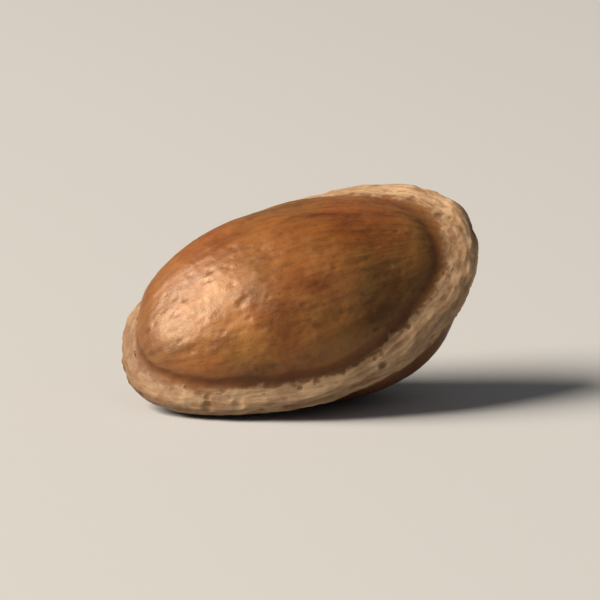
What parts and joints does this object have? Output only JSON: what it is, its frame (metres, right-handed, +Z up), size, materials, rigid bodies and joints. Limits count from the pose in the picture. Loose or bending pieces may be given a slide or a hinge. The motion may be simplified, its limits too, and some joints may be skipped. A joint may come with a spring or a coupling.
{
  "type": "pine nut",
  "caption": "Pine nut in its shell: a plump, slightly flattened seed with a domed face, a raised rim all round and a wedge-shaped back, lying on its flank.",
  "frame": {"origin": "under the middle of the nut's box, in the plane that it rests on", "axes": "+X along the nut from the pointed end to the blunt end, -Y the side that the domed face leans towards, +Z up"},
  "size_m": [0.0108, 0.006, 0.0062],
  "materials": {
    "shell": "hard woody seed coat, semi-gloss caramel brown with fine streaks and pits, paler dull rim"
  },
  "bodies": {
    "root": {"nut": "shell"}
  },
  "joints": []
}
